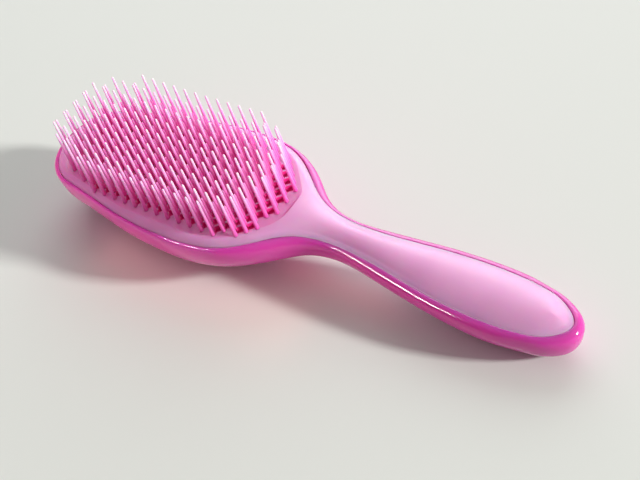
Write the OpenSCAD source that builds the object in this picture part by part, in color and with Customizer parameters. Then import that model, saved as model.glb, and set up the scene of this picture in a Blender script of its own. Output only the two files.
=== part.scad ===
// Detangling hair brush lying on its back, teeth up.
// X runs from the head tip to the handle end, Y across, Z up from the surface it lies on.

/* [Outline] */
// Length of the face moulding, tip to handle end
face_l = 219.6; // [190:0.2:250]
// Blunt width carried at the head tip, before it is rounded
tip_w = 37; // [30:0.5:44]
// Widest part of the face at the head
head_w = 56.6; // [50:0.2:66]
// Distance from the head tip to the widest part
head_x = 77.3; // [70:0.1:86]
// Narrowest part of the face at the neck
neck_w = 10.9; // [9:0.1:16]
// Distance from the head tip to the neck
neck_x = 136.3; // [130:0.1:145]
// Widest part of the face along the handle
grip_w = 21; // [17:0.5:26]
// Distance from the head tip to the widest part of the handle
grip_x = 192.3; // [180:0.1:197]
// Blunt width carried at the handle end, before it is rounded
end_w = 15; // [12:0.5:18]
// Length over which the head tip rounds off
tip_round = 16.8; // [14:0.1:20]
// Length over which the handle end rounds off
end_round = 14; // [12:0.1:18]

/* [Heights] */
// Height of the tooth roots over the surface the brush lies on
root_h = 28; // [25:0.5:32]
// Fall of the face edge below the tooth roots, round the head
edge_drop = 2.1; // [1.6:0.1:2.6]
// Further fall of the face edge along the handle
handle_drop = 10.9; // [6:0.1:13]
// Distance from the head tip to where the handle starts to fall
drop_x = 109.3; // [100:0.1:116]
// Height of the back under the neck
arch_h = 11.3; // [8:0.1:13]
// Crown of the handle face over its edge
handle_crown = 2.6; // [1.6:0.1:3.4]

/* [Back shell] */
// Visible width of the shell rim round the head
rim_w = 1.4; // [1:0.1:2]
// Visible width of the shell rim along the handle
grip_rim = 1.9; // [1:0.1:2.4]
// Width of the rim at the shoulders of the head
shoulder_rim = 3; // [2:0.1:4]
// Width of the rim at the two ends
end_rim = 3.2; // [1.8:0.1:3.6]
// Wall of the shell
shell_wall = 2.2; // [1.8:0.1:2.8]
// Width of the ledge that carries the face
ledge_w = 1.6; // [1.2:0.1:2]
// Forward reach of the rounded back at the head tip
nose_reach = 16; // [14:0.5:24]
// Reach of the rounded back at the handle end
heel_reach = 14; // [7:0.5:16]
// Fullness of the cross section of the back
belly_power = 2.4; // [2:0.1:3]

/* [Face] */
// Thickness of the face at its edge
edge_t = 2.4; // [2:0.1:3]
// Depth of the locating lip under the face
lip_h = 2.4; // [1.5:0.1:3]
// Thickness of the locating lip
lip_t = 1.3; // [1:0.1:1.6]
// Open parting line round the face
parting = 0.3; // [0.2:0.05:0.5]
// Clearance of the lip and the seat
seat_clr = 0.15; // [0.1:0.05:0.3]
// Radius of the rounded edge of the face at the head
edge_r = 1.6; // [1.2:0.1:2]

/* [Tooth field] */
// Spacing of the long teeth along the brush
pitch_x = 5.45; // [5.3:0.01:5.5]
// Distance from the outer rows of teeth to the widest edge of the face
row_margin = 6.625; // [6:0.125:8]
// Distance from the head tip to the first lattice column
column_x = 31.5; // [30.9:0.1:32.3]
// Height of the long teeth
long_h = 19.5; // [16:0.5:22]
// Height of the short teeth between them
short_h = 10.9; // [8:0.1:13]
// Height of the short-row teeth at the edge of the field
edge_h = 17.2; // [14:0.1:19]
// Width of a tooth at its root
root_w = 1.35; // [1.2:0.05:1.5]
// Width of a tooth below its rounded tip
tip_t = 1.05; // [0.8:0.05:1.2]
// Length of the rounded tip of a tooth
tip_l = 1.1; // [0.8:0.1:1.6]
// Rise of the long tips from the widest part of the head to the tip end of the field
tip_rise = 3.8; // [0:0.1:4.4]
// Lean of the long tips at the tip end of the field towards the widest part of the head
tip_lean = 1.5; // [0:0.1:2]
// Width of the ribs between the sunken pockets
rib_w = 1.4; // [1.2:0.05:1.6]
// Depth of the sunken pockets
pocket_d = 1.6; // [1:0.1:2]
// Distance from the head tip to the tip end of the tooth field
field_start = 9.8; // [8.8:0.1:11.3]
// Distance from the head tip to the neck end of the tooth field
field_end = 111.3; // [110.3:0.1:115.3]
// Distance from the widest edge of the face to the side of the rounded tooth field
field_inset = 2.7; // [2.4:0.1:4]
// Shift of the field towards its outer row of short teeth
field_shift = 0.3; // [0:0.1:0.8]
// Least distance from a tooth root to the face edge
field_margin = 0.3; // [0.3:0.1:0.8]
// Clearance round the ribs in the recess of the face
recess_clr = 0.1; // [0.05:0.05:0.2]

/* [Hidden] */

// Sections along the brush
steps = 42;
// Rows of teeth across the brush, long and short in turn
rows = 16;
// Spacing of the long teeth across the brush, so that the rows fill the head
pitch_y = 4 * (head_w / 2 - row_margin) / (rows - 1);
// Middle and half width of the rounded field, and the fullness of its two ends
field_share = 0.7866;
field_x = field_share * head_x;
field_side = head_w / 2 - field_inset;
tip_power = 2.3;
neck_power = 2.8;

// Each table gives shares of a stretch and of the change over it.
head_shares = [[0, 0], [0.22, 0.18], [0.44, 0.5], [0.66, 0.82], [0.84, 0.96], [1, 1]];
shoulder_shares = [[0, 0], [0.15, 0.025], [0.3, 0.1], [0.44, 0.28], [0.59, 0.59], [0.7, 0.83], [0.8, 0.94],
  [0.89, 0.985], [1, 1]];
grip_shares = [[0, 0], [0.17, 0.09], [0.37, 0.37], [0.66, 0.81], [0.86, 0.97], [1, 1]];
end_shares = [[0, 0], [0.3, 0.12], [0.5, 0.36], [0.7, 0.55], [1, 1]];
drop_shares = [[0, 0], [0.09, 0.07], [0.14, 0.18], [0.23, 0.3], [0.38, 0.46], [0.6, 0.69], [0.87, 0.92],
  [1, 1]];
arch_shares = [[0, 0], [0.3, 0.02], [0.5, 0.22], [0.8, 0.84], [1, 1]];
heel_shares = [[0, 1], [0.12, 0.94], [0.36, 0.62], [0.7, 0.27], [0.88, 0.08], [1, 0]];
bed_share = 0.33;
arch_share = 0.17;
bed_x = bed_share * neck_x;
arch_x = neck_x - arch_share * (neck_x - head_x);

// Smooth step between 0 and 1
function ease(t) = let (u = min(1, max(0, t))) u * u * (3 - 2 * u);
// Slope of a table at a row, kept from overshooting
function slope(T, i) = let (n = len(T) - 1)
  i <= 0 || i >= n ? 0 :
  let (a = (T[i][1] - T[i-1][1]) / (T[i][0] - T[i-1][0]), b = (T[i+1][1] - T[i][1]) / (T[i+1][0] - T[i][0]))
  a * b <= 0 ? 0 : 2 * a * b / (a + b);
// Row of a table that holds a place
function span(T, t, i = 0) = i >= len(T) - 2 || t < T[i+1][0] ? i : span(T, t, i + 1);
// Smooth value of a table of shares
function shape(T, t) = let (i = span(T, t), h = T[i+1][0] - T[i][0], u = min(1, max(0, (t - T[i][0]) / h)))
  T[i][1] * (1 + 2*u) * (1-u) * (1-u) + T[i+1][1] * u*u * (3 - 2*u)
  + h * (slope(T, i) * u * (1-u) * (1-u) + slope(T, i+1) * u*u * (u-1));

// Half width of the face before its ends are rounded, at a distance from the tip
function bare_half(s) =
  s < head_x ? (tip_w + (head_w - tip_w) * shape(head_shares, s / head_x)) / 2 :
  s < neck_x ? (head_w + (neck_w - head_w) * shape(shoulder_shares, (s - head_x) / (neck_x - head_x))) / 2 :
  s < grip_x ? (neck_w + (grip_w - neck_w) * shape(grip_shares, (s - neck_x) / (grip_x - neck_x))) / 2 :
  (grip_w + (end_w - grip_w) * shape(end_shares, (s - grip_x) / (face_l - grip_x))) / 2;
// Rounding of an end, by the share of the rounding length left
function round_off(r) = let (u = 1 - min(1, max(0, r))) sqrt(max(0, 1 - u * u));
function half_w(s) = bare_half(s) * round_off(s / tip_round) * round_off((face_l - s) / end_round);

// Height of the face edge
function edge_z(s) = root_h - edge_drop
  - handle_drop * shape(drop_shares, (s - drop_x) / (face_l - drop_x));
// Height of the back along its middle line
function back_z(s) = s < arch_x
  ? arch_h * shape(arch_shares, (s - bed_x) / (arch_x - bed_x))
  : arch_h * shape(heel_shares, (s - arch_x) / (grip_x - arch_x));
// Width of the rim, plain first and then swelling at the shoulders and at the two ends
function plain_rim(s) = rim_w + (grip_rim - rim_w) * handle_share(s);
function rim(s) = plain_rim(s)
  + (shoulder_rim - rim_w) * ease(1 - abs(s - shoulder_x) / shoulder_spread)
  + (end_rim - plain_rim(s)) * (ease(1 - s / tip_round) + ease(1 - (face_l - s) / end_round));
shoulder_share = 0.62;
spread_share = 0.38;
shoulder_x = head_x + shoulder_share * (neck_x - head_x);
shoulder_spread = spread_share * (neck_x - head_x);
// Share of the handle form against the head form
function handle_share(s) = ease((s - head_x) / (neck_x - head_x));

// Stations, closer together at the two ends
S = [for (i = [0:steps]) face_l * (1 - cos(180 * i / steps)) / 2];
P = [for (s = S) [s, half_w(s)]];
function sideways(i) = let (
    a = i == 0 ? [P[1][0], -P[1][1]] : P[i-1],
    b = i == steps ? [P[steps-1][0], -P[steps-1][1]] : P[i+1],
    d = b - a) [-d[1], d[0]] / norm(d);
N = [for (i = [0:steps]) sideways(i)];
// Outline moved in or out: off is a list of one offset for each station
function moved(off) = [for (i = [0:steps]) P[i] + N[i] * off[i]];
function even(v) = [for (i = [0:steps]) v];
// Drawn in towards the middle line: c scales the width, and the ends move in by a reach
function drawn(O, c, nose, heel) = [for (i = [0:steps]) let (
    fore = nose * pow(max(0, 1 - S[i] / (3 * nose)), 2),
    aft = heel * pow(max(0, 1 - (face_l - S[i]) / (3 * heel)), 2))
  [O[i][0] + (1 - c) * (fore - aft), c * O[i][1]]];
// Closed ring of points from a half outline and its heights
function ring(O, Z) = concat(
  [for (i = [0:steps]) [O[i][0] - face_l / 2, O[i][1], Z[i]]],
  [for (i = [steps-1:-1:1]) [O[i][0] - face_l / 2, -O[i][1], Z[i]]]);
ring_n = 2 * steps;

// Closed skin over rings of the same count, first ring capped below or inside, last ring capped too
module skin(R) {
  m = len(R);
  pts = [for (r = R) for (p = r) p];
  sides = [for (k = [0:m-2], i = [0:ring_n-1])
    let (a = k * ring_n + i, b = k * ring_n + (i + 1) % ring_n, c = b + ring_n, d = a + ring_n)
    each [[a, b, c], [a, c, d]]];
  function other(i) = (ring_n - i) % ring_n;
  function cap(k, flip) = let (o = k * ring_n) [for (i = [0:steps-1])
    let (a = o + i, b = o + i + 1, c = o + other(i + 1), d = o + other(i))
    each i == 0 ? [flip ? [a, b, c] : [a, c, b]]
      : i == steps - 1 ? [flip ? [a, b, d] : [a, d, b]]
      : flip ? [[a, b, c], [a, c, d]] : [[a, c, b], [a, d, c]]];
  polyhedron(points = pts, faces = concat(sides, cap(0, false), cap(m - 1, true)), convexity = 10);
}

// Translucent back: one hollow moulding with a rim, a seat for the face and a ledge under it
module back_shell() {
  seat = moved(even(parting));
  ledge = moved(even(-ledge_w));
  outer = moved([for (s = S) rim(s)]);
  crest = moved([for (s = S) parting + (rim(s) - parting) * crest_share]);
  seat_z = [for (o = seat) edge_z(o[0]) - edge_t - seat_clr];
  ledge_z = [for (o = ledge) edge_z(o[0]) - edge_t - seat_clr];
  function well_z(s) = edge_z(s) - edge_t - lip_h - 2 * seat_clr;
  function width_at(a) = max(flat_share, pow(cos(a), 2 / belly_power));
  function fall_at(a) = pow(sin(a), 2 / belly_power);
  function inner(k) = let (
      a = 90 * k / cavity_rings,
      O = drawn(ledge, width_at(a), nose_reach - shell_wall, heel_reach - shell_wall))
    ring(O, [for (o = O) let (z = well_z(o[0]), b = back_z(o[0]) + shell_wall) z - (z - b) * fall_at(a)]);
  function belly(k) = let (
      a = 90 * k / belly_rings,
      O = drawn(outer, width_at(a), nose_reach, heel_reach))
    ring(O, [for (i = [0:steps])
      let (z = edge_z(O[i][0]) - rim(S[i]) * rim_fall_share, b = back_z(O[i][0])) z - (z - b) * fall_at(a)]);
  color("#b93f98")
  skin(concat(
    [for (k = [belly_rings:-1:0]) belly(k)],
    [ring(crest, [for (o = crest) edge_z(o[0])]),
     ring(seat, [for (o = seat) edge_z(o[0])]),
     ring(seat, seat_z), ring(ledge, ledge_z)],
    [for (k = [0:cavity_rings]) inner(k)]));
}
cavity_rings = 4;
belly_rings = 7;
flat_share = 0.14;
crest_share = 0.45;
rim_fall_share = 0.55;

// Pale face: head rim, neck and handle in one moulding with a locating lip below
module face_blank() {
  under = moved(even(-ledge_w - seat_clr - lip_t));
  lip = moved(even(-ledge_w - seat_clr));
  function low(O, d) = ring(O, [for (o = O) edge_z(o[0]) - edge_t - d]);
  function top(j) = let (q = top_shares[j], O = moved(even(-q[0] * edge_r)))
    ring(O, [for (o = O) edge_z(o[0]) + rise(o[0], q[1], q[2])]);
  last = moved(even(-edge_r));
  function mid(j) = let (q = mid_shares[j], O = drawn(last, q[0], edge_r * mid_reach, edge_r * mid_reach))
    ring(O, [for (o = O) edge_z(o[0]) + rise(o[0], 1, q[1])]);
  skin(concat(
    [low(under, 0), low(under, lip_h), low(lip, lip_h), low(lip, 0), low(P, 0)],
    [for (j = [0:len(top_shares)-1]) top(j)],
    [for (j = [0:len(mid_shares)-1]) mid(j)]));
}
// Height over the face edge: the head is a plateau, the handle a crown that follows its width
function rise(s, head, handle) = let (h = handle_share(s))
  (1 - h) * edge_drop * head + h * handle_crown * handle * sqrt(half_w(s) / (grip_w / 2));
// Shares of the edge radius, of the head's rise and of the handle's crown
top_shares = [[0, 0, 0], [0.15, 0.45, 0.08], [0.5, 0.86, 0.2], [1, 1, 0.36]];
mid_shares = [[0.8, 0.62], [0.55, 0.85], [0.3, 0.96], [0.1, 1]];
mid_reach = 4;

module face_panel() {
  color("#efb9dc")
  difference() {
    face_blank();
    translate([0, 0, root_h - pocket_d])
      linear_extrude(pocket_d + edge_drop) polygon(spots(corners(fresh(bed()))));
  }
}

// The teeth stand on a slanting lattice: a counts along a strip, b from strip to strip.
// Rows of long and short teeth alternate across the brush.
function row_of(a, b) = b - a;
function spot_s(a, b) = column_x + (a + b) * pitch_x / 2;
function spot_y(a, b) = ((rows - 1) / 2 - row_of(a, b)) * pitch_y / 2;
function spot(a, b) = [spot_s(a, b) - face_l / 2, spot_y(a, b)];
// The field is rounded at both ends, and no tooth stands on the edge of the face
function in_field(s, y) = let (
    u = s < field_x ? (field_x - s) / (field_x - field_start) : (s - field_x) / (field_end - field_x),
    p = s < field_x ? tip_power : neck_power)
  pow(u, p) + pow(abs(y + field_shift) / field_side, p) <= 1;
function on_face(s, y) = let (r = root_w / 2, need = abs(y) + r + field_margin)
  need <= half_w(s - r) && need <= half_w(s + r);
function is_tooth(a, b) = let (k = row_of(a, b), s = spot_s(a, b), y = spot_y(a, b))
  k >= 0 && k < rows && in_field(s, y) && on_face(s, y);
first_strip = -1;
strips = 22;
// Teeth of a strip, by their counts along it, lowest first
STRIP = [for (n = [0:strips-1]) let (b = first_strip + n)
  [for (a = [b - rows + 1:b]) if (is_tooth(a, b)) a]];
function teeth_of(b) = b < first_strip || b >= first_strip + strips ? [] : STRIP[b - first_strip];
function first_of(b) = teeth_of(b)[0];
function last_of(b) = let (r = teeth_of(b)) r[len(r) - 1];
function has(a, b) = len(teeth_of(b)) > 0 && a >= first_of(b) && a <= last_of(b);
used = [for (b = [first_strip:first_strip + strips - 1]) if (len(teeth_of(b)) > 0) b];
// A sunken pocket lies between four teeth, and a rung crosses to the next rib on either side of it
function is_pocket(a, b) = has(a, b) && has(a + 1, b) && has(a, b + 1) && has(a + 1, b + 1);
function is_rung(a, b) = is_pocket(a, b) || is_pocket(a - 1, b);
function spots(L) = [for (q = L) spot(q[0], q[1])];

// Half a rib as a share of the spacing of the ribs
rib_share = rib_w * norm([pitch_x, pitch_y]) / (2 * pitch_x * pitch_y);
// Comb outline of a strip: its rib, and the rungs that reach the next rib
function comb(b) = let (g = rib_share, f = first_of(b), l = last_of(b)) concat(
  [[f - g, b - g], [l + g, b - g]],
  [for (a = [l:-1:f]) each concat(
    is_rung(a, b) == (a == l) ? [] : [[a + g, b + g]],
    is_rung(a, b) ? [[a + g, b + 1 - g], [a - g, b + 1 - g]] : [],
    is_rung(a, b) == (a == f) ? [] : [[a - g, b + g]])]);
// Stepped outline of the recess that holds all the ribs, low side first and then the high side
function bed() = let (g = rib_share * (1 + 2 * recess_clr / rib_w), n = len(used)) concat(
  [for (i = [0:n-1]) let (b = used[i], f = first_of(b), p = i < n-1 ? max(f, first_of(b + 1)) : f)
    each [[f - g, b - g], [f - g, b + g], [p - g, b + g], [p - g, i < n-1 ? b + 1 - g : b + g]]],
  [for (i = [n-1:-1:0]) let (b = used[i], l = last_of(b), p = i < n-1 ? min(l, last_of(b + 1)) : l)
    each [[p + g, i < n-1 ? b + 1 - g : b + g], [p + g, b + g], [l + g, b + g], [l + g, b - g]]]);
// Outline without repeated points, then without points along a straight side
function fresh(L) = [for (i = [0:len(L)-1]) if (L[i] != L[(i + len(L) - 1) % len(L)]) L[i]];
function corners(L) = [for (i = [0:len(L)-1])
  let (p = L[(i + len(L) - 1) % len(L)], q = L[i], r = L[(i + 1) % len(L)])
  if (!(p[0] == q[0] && q[0] == r[0])) q];

// One tooth with three sides and a pointed round-off, sunk a little into its rib
module tooth(x, y, h, lean) {
  a = root_w / sqrt(3);
  b = tip_t / sqrt(3);
  t = h - tip_l;
  along = atan2(pitch_y, pitch_x);
  q = [for (i = [0:2]) [cos(along + 120 * i), sin(along + 120 * i)]];
  pts = concat(
    [for (d = q) [x + a * d[0], y + a * d[1], root_h - tooth_sink]],
    [for (d = q) [x + lean * t / h + b * d[0], y + b * d[1], root_h + t]],
    [[x + lean, y, root_h + h]]);
  polyhedron(points = pts, faces = concat([[0, 1, 2]],
    [for (i = [0:2]) let (j = (i + 1) % 3) each [[i, i + 3, j], [j, i + 3, j + 3], [i + 3, 6, j + 3]]]));
}
tooth_sink = pocket_d / 4;

// Height of a tooth: long rows, short rows, and the short rows' teeth at the edge of the field
function tooth_h(a, b) = row_of(a, b) % 2 == 0 ? long_h : is_edge(a, b) ? edge_h : short_h;
function is_edge(a, b) = !(has(a - 1, b) && has(a + 1, b) && has(a, b - 1) && has(a, b + 1));

// One slanting strip of teeth with the slice of the backing that carries it: a rib and its rungs
module tooth_strip(n) {
  b = first_strip + n - 1;
  color("#ee62b0") {
    translate([0, 0, root_h - pocket_d]) linear_extrude(pocket_d) polygon(spots(comb(b)));
    for (a = teeth_of(b))
      let (p = spot(a, b), h = tooth_h(a, b), f = (head_x - spot_s(a, b)) / (head_x - field_start))
      tooth(p[0], p[1], h * (1 + tip_rise * f * f / long_h), tip_lean * f * h / long_h);
  }
}

module tooth_strip_01() { tooth_strip(1); }
module tooth_strip_02() { tooth_strip(2); }
module tooth_strip_03() { tooth_strip(3); }
module tooth_strip_04() { tooth_strip(4); }
module tooth_strip_05() { tooth_strip(5); }
module tooth_strip_06() { tooth_strip(6); }
module tooth_strip_07() { tooth_strip(7); }
module tooth_strip_08() { tooth_strip(8); }
module tooth_strip_09() { tooth_strip(9); }
module tooth_strip_10() { tooth_strip(10); }
module tooth_strip_11() { tooth_strip(11); }
module tooth_strip_12() { tooth_strip(12); }
module tooth_strip_13() { tooth_strip(13); }
module tooth_strip_14() { tooth_strip(14); }
module tooth_strip_15() { tooth_strip(15); }
module tooth_strip_16() { tooth_strip(16); }
module tooth_strip_17() { tooth_strip(17); }
module tooth_strip_18() { tooth_strip(18); }
module tooth_strip_19() { tooth_strip(19); }
module tooth_strip_20() { tooth_strip(20); }
module tooth_strip_21() { tooth_strip(21); }
module tooth_strip_22() { tooth_strip(22); }

echo(teeth = [for (r = STRIP) len(r)]);

back_shell();
face_panel();
tooth_strip_01();
tooth_strip_02();
tooth_strip_03();
tooth_strip_04();
tooth_strip_05();
tooth_strip_06();
tooth_strip_07();
tooth_strip_08();
tooth_strip_09();
tooth_strip_10();
tooth_strip_11();
tooth_strip_12();
tooth_strip_13();
tooth_strip_14();
tooth_strip_15();
tooth_strip_16();
tooth_strip_17();
tooth_strip_18();
tooth_strip_19();
tooth_strip_20();
tooth_strip_21();
tooth_strip_22();
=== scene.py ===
import math

import bmesh
import bpy
from mathutils import Matrix, Vector
from mathutils.geometry import convex_hull_2d


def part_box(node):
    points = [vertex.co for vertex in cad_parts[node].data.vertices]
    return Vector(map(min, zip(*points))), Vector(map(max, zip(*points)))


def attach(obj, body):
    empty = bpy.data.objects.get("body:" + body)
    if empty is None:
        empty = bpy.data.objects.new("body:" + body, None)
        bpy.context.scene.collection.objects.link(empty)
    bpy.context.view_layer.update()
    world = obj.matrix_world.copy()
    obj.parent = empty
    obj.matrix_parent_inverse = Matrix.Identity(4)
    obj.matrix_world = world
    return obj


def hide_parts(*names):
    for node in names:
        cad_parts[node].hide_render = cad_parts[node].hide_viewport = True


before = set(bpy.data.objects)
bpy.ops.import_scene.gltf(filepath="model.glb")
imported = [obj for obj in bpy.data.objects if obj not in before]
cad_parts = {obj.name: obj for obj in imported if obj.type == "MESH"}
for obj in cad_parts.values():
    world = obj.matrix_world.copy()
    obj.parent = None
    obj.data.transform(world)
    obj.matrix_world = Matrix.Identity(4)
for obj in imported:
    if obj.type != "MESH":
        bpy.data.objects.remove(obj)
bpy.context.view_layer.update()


# Face moulding: one pale pink shot of polypropylene with a satin mould finish. It is the plateau of the head,
# the waisted neck and the crowned handle, and it sits in the seat of the shell.
# Its outline is read off the CAD face, whose stations lie closer together at the two ends.
face_low, face_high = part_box("face_panel")
face_length = face_high.x - face_low.x
face_steps = 42
same_place = 1e-6


def face_stations():
    corners = [v.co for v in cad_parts["face_panel"].data.vertices]
    stations = []
    for i in range(face_steps + 1):
        x = face_low.x + face_length * (1 - math.cos(math.pi * i / face_steps)) / 2
        here = [c for c in corners if abs(c.x - x) < same_place]
        half = max(abs(c.y) for c in here)
        top = max(c.z for c in here if abs(c.y) > half - same_place)
        stations.append(Vector((x, half, top)))
    return stations


outline = face_stations()


def half_width_at(x):
    for a, b in zip(outline, outline[1:]):
        if x <= b.x:
            return a.y + (b.y - a.y) * max(0.0, x - a.x) / (b.x - a.x)
    return 0.0


def edge_height_at(x):
    for a, b in zip(outline, outline[1:]):
        if x <= b.x:
            return a.z + (b.z - a.z) * max(0.0, x - a.x) / (b.x - a.x)
    return outline[-1].z


# The plateau of the head stands this far over its edge. Along the neck it turns into the crown of the handle.
head_rise = 2.3e-3
handle_crown = 3.4e-3
handle_half_width = 10.5e-3
neck_start = 88e-3
neck_narrowest = 136.3e-3


def smooth_step(t):
    t = min(1.0, max(0.0, t))
    return t * t * (3 - 2 * t)


def handle_share(x):
    return smooth_step((x - face_low.x - neck_start) / (neck_narrowest - neck_start))


# Height of the face, with head the share of the plateau's rise and crown the share of the handle's.
def face_height(x, head, crown):
    share = handle_share(x)
    swell = math.sqrt(max(0.0, half_width_at(x)) / handle_half_width)
    return edge_height_at(x) + (1 - share) * head_rise * head + share * handle_crown * crown * swell


# The rounded edge is broader on the head. The side under it goes down into the seat of the shell and fills
# most of the clearance there.
edge_width = 1.6e-3
head_softness = 0.75
side_depth = 2.4e-3
side_corner = 0.12e-3
side_fill = 0.2e-3
middle_reach = 6.4e-3
middle_taper = 3


# Closed ring of points at an inset from the outline. The inner rings are squeezed to the middle line, and
# their two ends are drawn in from the tip and the handle's end.
def face_ring(inset, squeeze, height):
    side = []
    for i, p in enumerate(outline):
        before = outline[i - 1] if i else Vector((outline[1].x, -outline[1].y, 0))
        after = outline[i + 1] if i < face_steps else Vector((outline[-2].x, -outline[-2].y, 0))
        along = Vector((after.x - before.x, after.y - before.y)).normalized()
        softer = inset * (1 + head_softness * (1 - handle_share(p.x))) if inset > 0 else inset
        x = p.x + along.y * softer
        y = p.y - along.x * softer
        from_tip = x - face_low.x
        from_end = face_high.x - x
        drawn_in = (1 - squeeze) * middle_reach
        x += drawn_in * max(0.0, 1 - from_tip / (middle_taper * middle_reach)) ** 2
        x -= drawn_in * max(0.0, 1 - from_end / (middle_taper * middle_reach)) ** 2
        side.append(Vector((x, squeeze * y, height(x))))
    other = [Vector((p.x, -p.y, p.z)) for p in reversed(side[1:-1])]
    return side + other


# A grid whose rows are the rings, welded along its seam. Its two end rings are closed across the middle line.
def skin_over(rings):
    around = len(rings[0])
    bm = bmesh.new()
    bmesh.ops.create_grid(bm, x_segments=around, y_segments=len(rings) - 1, size=1.0)
    bm.verts.ensure_lookup_table()
    for k, ring in enumerate(rings):
        for i in range(around + 1):
            bm.verts[k * (around + 1) + i].co = ring[i % around]
    for k in (0, len(rings) - 1):
        row = [bm.verts[k * (around + 1) + i] for i in range(around)]
        for i in range(around // 2):
            corners = [row[i], row[i + 1], row[(around - i - 1) % around], row[(around - i) % around]]
            corners = list(dict.fromkeys(corners))
            if len(corners) > 2:
                bmesh.ops.contextual_create(bm, geom=corners)
    bmesh.ops.remove_doubles(bm, verts=bm.verts, dist=same_place)
    bmesh.ops.recalc_face_normals(bm, faces=bm.faces)
    return bm


def finish_piece(bm, name, material):
    mesh = bpy.data.meshes.new(name)
    bm.to_mesh(mesh)
    bm.free()
    mesh.polygons.foreach_set("use_smooth", [True] * len(mesh.polygons))
    piece = bpy.data.objects.new(name, mesh)
    bpy.context.scene.collection.objects.link(piece)
    piece.data.materials.append(material)
    return piece


rounding_levels = 2


def round_off(piece):
    rounding = piece.modifiers.new("rounding", "SUBSURF")
    rounding.levels = rounding.render_levels = rounding_levels


def modified_mesh(piece):
    bpy.context.view_layer.update()
    return bpy.data.meshes.new_from_object(piece.evaluated_get(bpy.context.evaluated_depsgraph_get()))


def apply_modifiers(piece):
    made = modified_mesh(piece)
    piece.modifiers.clear()
    piece.data = made


# Materials take sRGB colours in hex.
def linear(hex_colour):
    parts = [int(hex_colour[i:i + 2], 16) / 255 for i in (1, 3, 5)]
    return [c / 12.92 if c <= 0.04045 else ((c + 0.055) / 1.055) ** 2.4 for c in parts] + [1.0]


def add_node(owner, kind, settings, links=()):
    node = owner.node_tree.nodes.new(kind)
    for name, value in settings.items():
        if name in node.inputs:
            node.inputs[name].default_value = value
        else:
            setattr(node, name, value)
    for socket, source in links:
        owner.node_tree.links.new(source, node.inputs[socket])
    return node


def new_material(name):
    material = bpy.data.materials.new(name)
    material.use_nodes = True
    material.node_tree.nodes.clear()
    return material


# Polypropylene from a spark-eroded mould looks satin. Flow marks shift its tint a little, a fine grain breaks
# up the gloss, and light sinks in and comes back warmer. Pattern scales count per metre. The real grain is
# near 0.1 mm, and is drawn at 0.4 mm so that it shows.
flow_scale = 45.0
grain_scale = 2500.0
grain_depth = 0.05e-3


def satin_polypropylene(name, darker, paler):
    m = new_material(name)
    place = add_node(m, "ShaderNodeTexCoord", {})
    flow = add_node(m, "ShaderNodeTexNoise", {"Scale": flow_scale, "Detail": 2.0},
                    [("Vector", place.outputs["Object"])])
    tint = add_node(m, "ShaderNodeValToRGB", {}, [("Fac", flow.outputs["Fac"])])
    tint.color_ramp.elements[0].position = 0.3
    tint.color_ramp.elements[0].color = linear(darker)
    tint.color_ramp.elements[1].position = 0.7
    tint.color_ramp.elements[1].color = linear(paler)
    grain = add_node(m, "ShaderNodeTexNoise", {"Scale": grain_scale, "Detail": 3.0},
                     [("Vector", place.outputs["Object"])])
    bump = add_node(m, "ShaderNodeBump", {"Strength": 0.12, "Distance": grain_depth},
                    [("Height", grain.outputs["Fac"])])
    gloss = add_node(m, "ShaderNodeMapRange", {"To Min": 0.36, "To Max": 0.46},
                     [("Value", grain.outputs["Fac"])])
    body = add_node(m, "ShaderNodeBsdfPrincipled",
                    {"IOR": 1.49, "Subsurface Weight": 0.8, "Subsurface Radius": (1.0, 0.25, 0.55),
                     "Subsurface Scale": 7e-3},
                    [("Base Color", tint.outputs["Color"]), ("Roughness", gloss.outputs["Result"]),
                     ("Normal", bump.outputs["Normal"])])
    add_node(m, "ShaderNodeOutputMaterial", {}, [("Surface", body.outputs["BSDF"])])
    return m


# The rings go up the side, over the rounded edge as (share of its width, head, crown), and in to the middle
# line as (squeeze, crown).
edge_profile = [(0.06, 0.19, 0.02), (0.22, 0.44, 0.07), (0.5, 0.75, 0.16), (0.78, 0.94, 0.24), (1, 1, 0.3)]
crown_profile = [(0.8, 0.565), (0.55, 0.8), (0.3, 0.94), (0.1, 0.99)]
face_rings = [face_ring(-side_fill, 1, lambda x: edge_height_at(x) - drop)
              for drop in (side_depth, side_depth / 2, side_corner, 0)]
for share, head, crown in edge_profile:
    face_rings.append(face_ring(share * edge_width, 1, lambda x: face_height(x, head, crown)))
for squeeze, crown in crown_profile:
    face_rings.append(face_ring(edge_width, squeeze, lambda x: face_height(x, 1, crown)))

face = finish_piece(skin_over(face_rings), "face_moulding",
                    satin_polypropylene("satin_pink_polypropylene", "#d89cc8", "#dfa6cf"))
round_off(face)
apply_modifiers(face)


# Tooth bed: the dish and the sunken pockets under the teeth, cored out of the face moulding in its mould.
# Each pocket lies between four teeth, and the ribs that are left carry the teeth on their crossings.
# The teeth are read off the CAD strips, where every tip stands on a shoulder ring over a root ring.
strip_names = sorted(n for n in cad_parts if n.startswith("tooth_strip_"))
shoulder_corners = 3


def strip_teeth(node):
    bm = bmesh.new()
    bm.from_mesh(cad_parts[node].data)
    bmesh.ops.remove_doubles(bm, verts=bm.verts, dist=same_place)
    bm.verts.index_update()
    teeth = []
    for tip in bm.verts:
        shoulder = {e.other_vert(tip) for e in tip.link_edges}
        if len(shoulder) == shoulder_corners and all(v.co.z < tip.co.z - same_place for v in shoulder):
            below = {e.other_vert(v) for v in shoulder for e in v.link_edges} - shoulder - {tip}
            below = sorted(below, key=lambda v: v.index)
            root = sum((v.co for v in below), Vector()) / len(below)
            teeth.append((root.copy(), tip.co.copy()))
    bm.free()
    return teeth


teeth_of = {n: strip_teeth(n) for n in strip_names}
roots = [root for n in strip_names for root, tip in teeth_of[n]]
root_height = roots[0].z

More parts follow.
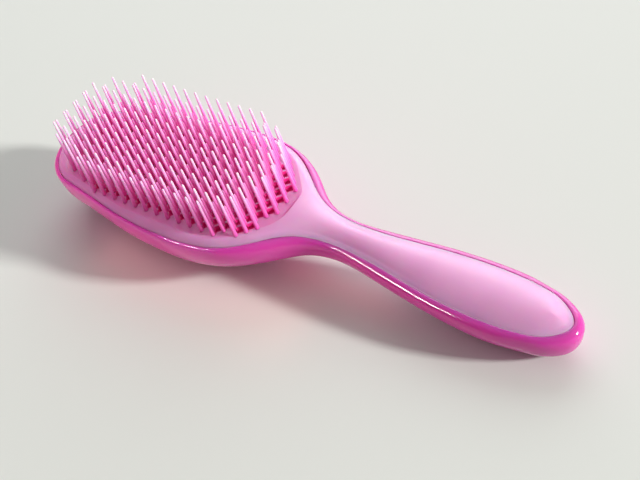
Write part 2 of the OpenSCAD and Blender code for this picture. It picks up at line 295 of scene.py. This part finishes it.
# The roots stand on every second crossing of a lattice of columns and rows.
same_row = 0.1e-3
across = sorted(r.y for r in roots)
rows = across[:1] + [b for a, b in zip(across, across[1:]) if b - a > same_row]
row_step = (rows[-1] - rows[0]) / (len(rows) - 1)
middle_row = sorted(r.x for r in roots if abs(r.y - rows[len(rows) // 2]) < same_row)
column_step = min(b - a for a, b in zip(middle_row, middle_row[1:])) / 2
first_column = min(r.x for r in roots)
crossings = {(round((r.x - first_column) / column_step), round((r.y - rows[0]) / row_step)) for r in roots}


def crossing(column, row, height):
    return Vector((first_column + column * column_step, rows[0] + row * row_step, height))


# The tooth field lies in a shallow dish with a soft wall. Each ring of its core keeps a set reach from the
# outer teeth, at a height over their roots: (reach, height). The core is split along the lattice, so that no
# face of the dish surrounds a pocket.
dish_profile = [(4.7e-3, 3e-3), (4.5e-3, 1.2e-3), (4.0e-3, 0.75e-3), (3.5e-3, 0.36e-3), (3.1e-3, 0.15e-3),
                (2.7e-3, 0.03e-3), (2.2e-3, 0)]
dish_sides = 20


def dish_core():
    bm = bmesh.new()
    below = []
    for reach, height in dish_profile:
        spokes = [Vector((math.cos(a), math.sin(a))) * reach
                  for a in (2 * math.pi * k / dish_sides for k in range(dish_sides))]
        points = [r.to_2d() + spoke for r in roots for spoke in spokes]
        hull = [points[i] for i in convex_hull_2d(points)]
        ring = bmesh.ops.create_circle(bm, segments=len(hull), radius=1.0)["verts"]
        for v, p in zip(ring, hull):
            v.co = (p.x, p.y, root_height + height)
        edges = list(dict.fromkeys(e for v in ring for e in v.link_edges))
        if below:
            bmesh.ops.bridge_loops(bm, edges=below + edges)
        else:
            bmesh.ops.contextual_create(bm, geom=ring)
        below = edges
    bmesh.ops.contextual_create(bm, geom=ring)
    bmesh.ops.recalc_face_normals(bm, faces=bm.faces)
    cuts = [(crossing(c, 0, 0), (1, 0, 0)) for c in {c for c, r in crossings}]
    cuts += [(crossing(0, r, 0), (0, 1, 0)) for r in {r for c, r in crossings}]
    for place, normal in cuts:
        everything = bm.verts[:] + bm.edges[:] + bm.faces[:]
        bmesh.ops.bisect_plane(bm, geom=everything, plane_co=place, plane_no=normal)
    return bm


# A pocket starts over the floor of the dish, flares at its mouth and has a little draft down to its floor.
rib_width = 1.25e-3
pocket_depth = 1.6e-3
pocket_flare = 0.2e-3
pocket_draft = 0.25e-3
pocket_corner = 0.9e-3
over_dish = 0.4e-3


def pocket_cores():
    bm = bmesh.new()
    top = root_height + over_dish
    for column, row in sorted(crossings):
        cell = [(column, row), (column + 1, row + 1), (column + 2, row), (column + 1, row - 1)]
        if all(c in crossings for c in cell):
            corners = [bm.verts.new(crossing(c, r, top)) for c, r in cell]
            bmesh.ops.contextual_create(bm, geom=corners)
    bmesh.ops.recalc_face_normals(bm, faces=bm.faces)
    for mouth in bm.faces:
        if mouth.normal.z > 0:
            mouth.normal_flip()
    half_rib = rib_width / 2 - pocket_flare - over_dish
    rims = bmesh.ops.inset_individual(bm, faces=list(bm.faces), thickness=half_rib)["faces"]
    bmesh.ops.delete(bm, geom=rims, context="FACES")
    bmesh.ops.bevel(bm, geom=bm.verts[:], offset=pocket_corner, segments=2, profile=0.5, affect="VERTICES",
                    material=-1)
    lids = bmesh.ops.duplicate(bm, geom=bm.faces[:])
    lid_faces = [g for g in lids["geom"] if isinstance(g, bmesh.types.BMFace)]
    floors = [f for f in bm.faces if f not in set(lid_faces)]
    bmesh.ops.reverse_faces(bm, faces=lid_faces)
    mouth_step = over_dish + pocket_flare
    for thickness, depth in ((mouth_step, mouth_step), (pocket_draft, pocket_depth - pocket_flare)):
        bmesh.ops.inset_individual(bm, faces=floors, thickness=thickness, depth=depth)
    bmesh.ops.remove_doubles(bm, verts=bm.verts, dist=same_place)
    return bm


# The floor of a pocket is coloured deep pink: painted shade and painted pink bounce light in the sunken
# pocket.
web_scale = 300.0


def painted_shade_pocket_floor():
    m = new_material("deep_pink_pocket_painted_shade")
    place = add_node(m, "ShaderNodeTexCoord", {})
    flow = add_node(m, "ShaderNodeTexNoise", {"Scale": web_scale, "Detail": 1.0},
                    [("Vector", place.outputs["Object"])])
    tint = add_node(m, "ShaderNodeValToRGB", {}, [("Fac", flow.outputs["Fac"])])
    # Painted shade: this deep pink stands in for the shade and pink bounce light down in the pockets.
    tint.color_ramp.elements[0].color = linear("#d81f80")
    tint.color_ramp.elements[1].color = linear("#e53390")
    body = add_node(m, "ShaderNodeBsdfPrincipled", {"IOR": 1.49, "Roughness": 0.4},
                    [("Base Color", tint.outputs["Color"])])
    add_node(m, "ShaderNodeOutputMaterial", {}, [("Surface", body.outputs["BSDF"])])
    return m


def cut_out(core):
    coring = face.modifiers.new("coring", "BOOLEAN")
    coring.object = core
    coring.solver = "EXACT"
    coring.material_mode = "TRANSFER"
    apply_modifiers(face)
    bpy.data.objects.remove(core)
    bm = bmesh.new()
    bm.from_mesh(face.data)
    bmesh.ops.remove_doubles(bm, verts=bm.verts, dist=same_place)
    bm.to_mesh(face.data)
    bm.free()


# Between the teeth the same plastic is painted a deeper pink: painted shade of the teeth, and painted pink
# light that has passed through them.
ribs_painted_shade = satin_polypropylene("satin_pink_ribs_painted_shade", "#d98bbf", "#e096c8")
cut_out(finish_piece(dish_core(), "dish_core", ribs_painted_shade))
cut_out(finish_piece(pocket_cores(), "pocket_cores", painted_shade_pocket_floor()))
sharp_rib_edge = math.radians(28)
face.data.set_sharp_from_angle(angle=sharp_rib_edge)
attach(face, "root")
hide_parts("face_panel")


# Teeth: slender tapered rods with rounded tips, moulded in one with the face from the same flexible shot.
# A small fillet spreads each root over its crossing of two ribs. Long and short rows take turns.
# Each ring of the profile is (share of the way up, offset along the tooth, radius).
tooth_sides = 8
root_radius = 0.84e-3
neck_radius = 0.7e-3
tip_radius = 0.43e-3
tooth_profile = [
    (0, -0.5e-3, root_radius * 1.15),
    (0, 0.15e-3, root_radius),
    (0, 1.1e-3, neck_radius * 1.08),
    (0.5, 0, (neck_radius + tip_radius) / 2),
    (1, -0.6e-3, tip_radius),
    (1, -0.22e-3, tip_radius * 0.78),
]


def raise_tooth(bm, root, tip):
    length = (tip - root).length
    lift = (tip - root).normalized()
    made = bmesh.ops.create_circle(bm, cap_ends=True, segments=tooth_sides, radius=1.0)["verts"]
    edges = list(dict.fromkeys(e for v in made for e in v.link_edges))
    for k, (share, offset, radius) in enumerate(tooth_profile):
        if k:
            grown = bmesh.ops.extrude_edge_only(bm, edges=edges)["geom"]
            made = [g for g in grown if isinstance(g, bmesh.types.BMVert)]
            edges = [e for e in grown
                     if isinstance(e, bmesh.types.BMEdge) and all(v in made for v in e.verts)]
        centre = root + lift * (share * length + offset)
        middle = sum((v.co for v in made), Vector()) / len(made)
        for v in made:
            v.co = centre + (v.co - middle).normalized() * radius
    point = bmesh.ops.extrude_edge_only(bm, edges=edges)["geom"]
    ends = [g for g in point if isinstance(g, bmesh.types.BMVert)]
    bmesh.ops.pointmerge(bm, verts=ends, merge_co=root + lift * length)


# The thin rods are moulded smoother than the face, so they are glossier. Their colour is painted by height:
# painted shade makes them deep pink at the roots, where little light gets down between them, and painted
# light makes them pale at the tips, where light shines through.
painted_shade_height = 27e-3
painted_light_height = 48e-3
tooth_grain_scale = 1500.0


def flexible_pink():
    m = new_material("flexible_pink_polypropylene")
    place = add_node(m, "ShaderNodeTexCoord", {})
    height = add_node(m, "ShaderNodeSeparateXYZ", {}, [("Vector", place.outputs["Object"])])
    share = add_node(m, "ShaderNodeMapRange", {"From Min": painted_shade_height, "From Max": painted_light_height},
                     [("Value", height.outputs["Z"])])
    # Painted shade at the roots and painted light at the tips, ramped by height.
    ramp = add_node(m, "ShaderNodeValToRGB", {}, [("Fac", share.outputs["Result"])])
    ramp.color_ramp.elements[0].color = linear("#ec56b0")
    ramp.color_ramp.elements[1].color = linear("#ffdaf4")
    middle = ramp.color_ramp.elements.new(0.5)
    middle.color = linear("#f48fcd")
    grain = add_node(m, "ShaderNodeTexNoise", {"Scale": tooth_grain_scale},
                     [("Vector", place.outputs["Object"])])
    gloss = add_node(m, "ShaderNodeMapRange", {"To Min": 0.24, "To Max": 0.36},
                     [("Value", grain.outputs["Fac"])])
    body = add_node(m, "ShaderNodeBsdfPrincipled",
                    {"IOR": 1.49, "Specular IOR Level": 0.35, "Subsurface Weight": 0.6,
                     "Subsurface Radius": (1.0, 0.3, 0.7), "Subsurface Scale": 3e-3},
                    [("Base Color", ramp.outputs["Color"]), ("Roughness", gloss.outputs["Result"])])
    add_node(m, "ShaderNodeOutputMaterial", {}, [("Surface", body.outputs["BSDF"])])
    return m


tooth_material = flexible_pink()
all_teeth = []
for name in strip_names:
    bm = bmesh.new()
    for root, tip in teeth_of[name]:
        raise_tooth(bm, root, tip)
    bmesh.ops.recalc_face_normals(bm, faces=bm.faces)
    teeth = finish_piece(bm, name.replace("tooth_strip", "teeth"), tooth_material)
    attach(teeth, "root")
    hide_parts(name)
    all_teeth.append(teeth)


# Back shell: one shot of clear styrene tinted magenta, polished in the mould.
# It is the outside of the head and handle. Its rim stands round the face, and a ledge inside carries it.
# The CAD shell is copied, and its triangles are joined to quads. The sharp corners of its seat and ledge are
# creased, and the rest flows.
seat_corner = math.radians(60)
corner_crease = 1.0
most_bend = math.radians(40)
any_shape = math.radians(180)

# Along the handle the rim rolls over in a wide round, so its rings swell out and down from the crest.
roll_out = [0.6e-3, 1.05e-3, 1.15e-3, 0.6e-3, 0.2e-3]
roll_down = [0.3e-3, 0.6e-3, 0.2e-3, 0, 0]
roll_start = 24e-3
roll_full = 44e-3
roll_end = 84e-3
roll_none = 106e-3
crest_band = 0.15e-3
seat_clearance = 0.5e-3


def outside_face(v):
    return not face_low.x < v.co.x < face_high.x or abs(v.co.y) > half_width_at(v.co.x) + seat_clearance


# The rings of the outer wall, from the crest of the rim down. The edge of the seat inside is as high as the
# crest, and is left as it is.
def wall_rings(bm):
    level = {v for v in bm.verts if abs(v.co.z - edge_height_at(v.co.x)) < crest_band}
    rings = [{v for v in level if outside_face(v)}]
    seen = set(level)
    for _ in roll_out[1:]:
        below = {e.other_vert(v) for v in rings[-1] for e in v.link_edges} - seen
        rings.append(below)
        seen |= below
    return rings


def roll_rim(bm):
    for ring, out, down in zip(wall_rings(bm), roll_out, roll_down):
        for v in ring:
            x = v.co.x
            share = smooth_step((x - roll_start) / (roll_full - roll_start))
            share *= 1 - smooth_step((x - roll_end) / (roll_none - roll_end))
            v.co.y += math.copysign(out * share, v.co.y)
            v.co.z -= down * share


def shell_copy():
    bm = bmesh.new()
    bm.from_mesh(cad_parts["back_shell"].data)
    bmesh.ops.remove_doubles(bm, verts=bm.verts, dist=same_place)
    bmesh.ops.join_triangles(bm, faces=bm.faces, angle_face_threshold=most_bend,
                             angle_shape_threshold=any_shape)
    crease = bm.edges.layers.float.new("crease_edge")
    for edge in bm.edges:
        if edge.calc_face_angle(0) > seat_corner:
            edge[crease] = corner_crease
    roll_rim(bm)
    return bm


# Smoothing draws a skin in, so its corners are moved out until the smooth skin passes through their places.
fitting_rounds = 4
fitting_step = 0.8
most_over_place = 0.05e-3


def fit_through_corners(piece):
    places = [v.co.copy() for v in piece.data.vertices]
    for _ in range(fitting_rounds):
        smooth = modified_mesh(piece)
        for corner, place, now in zip(piece.data.vertices, places, smooth.vertices):
            corner.co += (place - now.co) * fitting_step
            corner.co.z = min(corner.co.z, place.z + most_over_place)
        piece.data.update()
        bpy.data.meshes.remove(smooth)


# Polished clear styrene with a magenta dye: a sharp gloss with long soft waves in it, and a body that glows
# where light has gone through it.
wave_scale = 60.0


def glossy_magenta():
    m = new_material("glossy_magenta_styrene")
    place = add_node(m, "ShaderNodeTexCoord", {})
    ripple = add_node(m, "ShaderNodeTexNoise", {"Scale": wave_scale, "Detail": 1.0},
                      [("Vector", place.outputs["Object"])])
    gloss = add_node(m, "ShaderNodeMapRange", {"To Min": 0.06, "To Max": 0.14},
                     [("Value", ripple.outputs["Fac"])])
    body = add_node(m, "ShaderNodeBsdfPrincipled",
                    {"Base Color": linear("#cb43a0"), "IOR": 1.46, "Subsurface Weight": 0.8,
                     "Subsurface Radius": (1.0, 0.2, 0.7), "Subsurface Scale": 8e-3,
                     "Coat Weight": 0.1, "Coat Roughness": 0.04},
                    [("Roughness", gloss.outputs["Result"])])
    add_node(m, "ShaderNodeOutputMaterial", {}, [("Surface", body.outputs["BSDF"])])
    return m


# The back rests on the floor, so no smoothed corner dips under it.
shell = finish_piece(shell_copy(), "back_shell_skin", glossy_magenta())
round_off(shell)
fit_through_corners(shell)
apply_modifiers(shell)
for v in shell.data.vertices:
    v.co.z = max(v.co.z, 0)
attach(shell, "root")
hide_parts("back_shell")


# Setting: a plain pale matt floor, a low window beyond the handle's end and a wide pale wall beyond the
# brush. The room is brighter on that far side. A panel there and a strip in front of the head are seen only
# in gloss.
bpy.context.scene.view_settings.view_transform = "Standard"
floor_half = 3.0
near_room = 0.14
far_room = 0.6


def pale_floor():
    m = new_material("pale_floor")
    body = add_node(m, "ShaderNodeBsdfPrincipled", {"Base Color": linear("#e1e4de"), "Roughness": 0.75})
    add_node(m, "ShaderNodeOutputMaterial", {}, [("Surface", body.outputs["BSDF"])])
    return m


bm = bmesh.new()
bmesh.ops.create_grid(bm, x_segments=1, y_segments=1, size=floor_half)
floor = finish_piece(bm, "floor", pale_floor())

world = bpy.data.worlds.new("studio")
bpy.context.scene.world = world
world.use_nodes = True
room = world.node_tree.nodes["Background"]
room.inputs["Color"].default_value = linear("#fbf9f4")
direction = add_node(world, "ShaderNodeTexCoord", {})
axes = add_node(world, "ShaderNodeSeparateXYZ", {}, [("Vector", direction.outputs["Generated"])])
beyond = add_node(world, "ShaderNodeMapRange", {"From Min": -1.0, "To Min": near_room, "To Max": far_room},
                  [("Value", axes.outputs["Y"])])
world.node_tree.links.new(beyond.outputs["Result"], room.inputs["Strength"])


def area_light(name, place, target, size, power, colour):
    data = bpy.data.lights.new(name, "AREA")
    data.shape = "RECTANGLE"
    data.size, data.size_y = size
    data.energy = power
    data.color = linear(colour)[:3]
    light = bpy.data.objects.new(name, data)
    light.location = place
    light.rotation_euler = (Vector(target) - Vector(place)).to_track_quat("-Z", "Y").to_euler()
    bpy.context.scene.collection.objects.link(light)
    return light


def only_on(light, *pieces):
    lit = bpy.data.collections.new(light.name + "_receiver")
    for piece in pieces:
        lit.objects.link(piece)
    light.light_linking.receiver_collection = lit


middle_of_brush = (0, 0, 0.02)
area_light("window", (7.2, 1.94, 2.9), middle_of_brush, (0.72, 0.72), 735, "#fffefc")
area_light("pale_wall", (-0.55, 1.19, 0.94), middle_of_brush, (1.8, 1.7), 14.4, "#f6f6ff")
far_gloss = area_light("far_gloss", (-0.38, 1.35, 0.45), middle_of_brush, (1.6, 1.0), 15, "#f6f6ff")
far_gloss.visible_diffuse = False
only_on(far_gloss, shell, face)
rim_strip = area_light("rim_strip", (-0.48, -0.60, 0.68), middle_of_brush, (0.5, 0.1), 13, "#ffffff")
rim_strip.visible_diffuse = False
only_on(rim_strip, shell)

# Light that the tinted shell and the teeth pass on. Two glows low under the brush redden its shadow.
neck_glow = area_light("neck_glow", (0.035, -0.006, 0.009), (0.035, -0.010, 0), (0.13, 0.008),
                       0.0012, "#ff3048")
head_glow = area_light("head_glow", (-0.03, -0.030, 0.012), (-0.03, -0.034, 0), (0.10, 0.02),
                       0.0024, "#ffaaa8")
for glow in (neck_glow, head_glow):
    glow.visible_camera = False
    only_on(glow, floor)

# The other three light the pieces themselves, and aren't seen in their gloss.
tip_glow = area_light("tip_glow", (-0.22, -0.12, 0.12), (-0.06, -0.01, 0.03), (0.1, 0.1), 0.2, "#ff6cc4")
only_on(tip_glow, shell, face)
side_glow = area_light("side_glow", (-0.11, -0.20, 0.06), (-0.06, -0.02, 0.015), (0.1, 0.1), 0.15, "#ff78d0")
only_on(side_glow, shell)
tooth_glow = area_light("tooth_glow", (-0.06, 0, 0.30), (-0.05, 0, 0.03), (0.12, 0.12), 0.18, "#ff3c9c")
only_on(tooth_glow, *all_teeth)
for glow in (tip_glow, side_glow, tooth_glow):
    glow.visible_camera = False
    glow.visible_glossy = False

# Camera at the photograph's viewing angle, placed from the vanishing of the tooth rows.
camera_place = Vector((0.2187, -0.1792, 0.2960))
camera_heading = Vector((-0.52542, 0.45592, -0.71838))
camera_roll = math.radians(-20.3)
focal_px = 1101.1
photo_width_px = 640
sensor_mm = 36
camera_data = bpy.data.cameras.new("camera")
camera_data.sensor_width = sensor_mm
camera_data.lens = sensor_mm * focal_px / photo_width_px
camera_data.clip_start = 0.01
camera = bpy.data.objects.new("camera", camera_data)
turn = camera_heading.to_track_quat("-Z", "Y").to_matrix() @ Matrix.Rotation(camera_roll, 3, "Z")
camera.matrix_world = Matrix.Translation(camera_place) @ turn.to_4x4()
bpy.context.scene.collection.objects.link(camera)
bpy.context.scene.camera = camera
